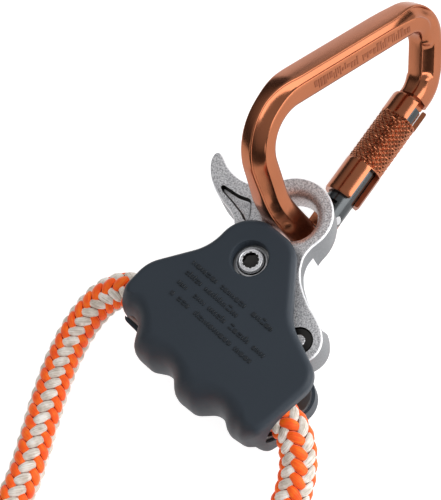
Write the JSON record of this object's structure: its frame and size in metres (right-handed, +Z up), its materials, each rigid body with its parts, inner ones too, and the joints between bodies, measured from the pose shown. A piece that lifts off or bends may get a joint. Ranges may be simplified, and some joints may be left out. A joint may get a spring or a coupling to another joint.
{
  "type": "rope grab with carabiner",
  "caption": "Rope grab for a positioning lanyard: a moulded grip over a bent steel channel, a sprung arm with a toothed cam, a locking carabiner in its eye, and the rope through it.",
  "frame": {"origin": "under the middle of the grab and its carabiner, on the surface that the grab lies on; the free rope and its coil are left out of that middle", "axes": "+X along the rope channel, +Y from the finger grooves towards the eye, +Z up, out of the front cover"},
  "size_m": [0.1555, 0.3584, 0.064],
  "materials": {
    "stainless": "satin",
    "cover_plastic": "fine moulded grain",
    "bearing_plastic": "smooth",
    "bronze": "smooth",
    "spring_steel": "drawn wire",
    "blasted_aluminium": "bead blasted",
    "copper_anodised": "glossy anodised",
    "grey_anodised": "glossy anodised",
    "rope": "braided, orange fleck on white",
    "shrink_sleeve": "shrink tube"
  },
  "bodies": {
    "grab_body": {"housing": "stainless", "front_cover": "cover_plastic", "rear_cover": "cover_plastic", "pivot_bolt": "stainless", "pivot_nut": "stainless", "thrust_washers": "bearing_plastic", "stop_pin": "stainless", "rope_inside": "rope", "rope_left": "rope", "rope_right": "rope", "rope_coil": "rope", "rope_end_sleeve": "shrink_sleeve", "coil_tie": "shrink_sleeve"},
    "arm_body": {"arm": "blasted_aluminium", "pivot_bush": "bronze", "arm_return_spring": "spring_steel", "cam_pin": "stainless", "cam_pin_clip": "spring_steel"},
    "cam_body": {"cam_shoe": "stainless"},
    "carabiner": {"carabiner_body": "copper_anodised", "gate_hinge_pin": "stainless"},
    "gate_body": {"gate": "grey_anodised", "gate_plunger": "stainless", "gate_spring": "spring_steel"},
    "sleeve_body": {"lock_sleeve": "copper_anodised"}
  },
  "joints": [
    {"name": "arm_pivot", "type": "hinge", "parent": "grab_body", "child": "arm_body", "pos_m": [-0.0024, -0.0286, 0.0181], "axis": [0, 0, 1], "range_deg": [0, 22], "stiffness_Nm_per_rad": 0.2, "springref_deg": -28.65},
    {"name": "cam_pivot", "type": "hinge", "parent": "arm_body", "child": "cam_body", "pos_m": [0.0268, -0.0374, 0.0181], "axis": [0, 0, 1], "range_deg": [-8, 8]},
    {"name": "carabiner_swing", "type": "hinge", "parent": "arm_body", "child": "carabiner", "pos_m": [-0.0053, -0.0071, 0.0181], "axis": [0, 0, 1], "range_deg": [-45, 14]},
    {"name": "gate_hinge", "type": "hinge", "parent": "carabiner", "child": "gate_body", "pos_m": [-0.0034, 0.0044, 0.0069], "axis": [0.9296, 0.1373, 0.342], "range_deg": [0, 25], "stiffness_Nm_per_rad": 0.3, "springref_deg": -20.05},
    {"name": "sleeve_twist", "type": "hinge", "parent": "gate_body", "child": "sleeve_body", "pos_m": [-0.0034, 0.0044, 0.0069], "axis": [-0.1461, 0.9893, 0], "range_deg": [0, 90]}
  ]
}
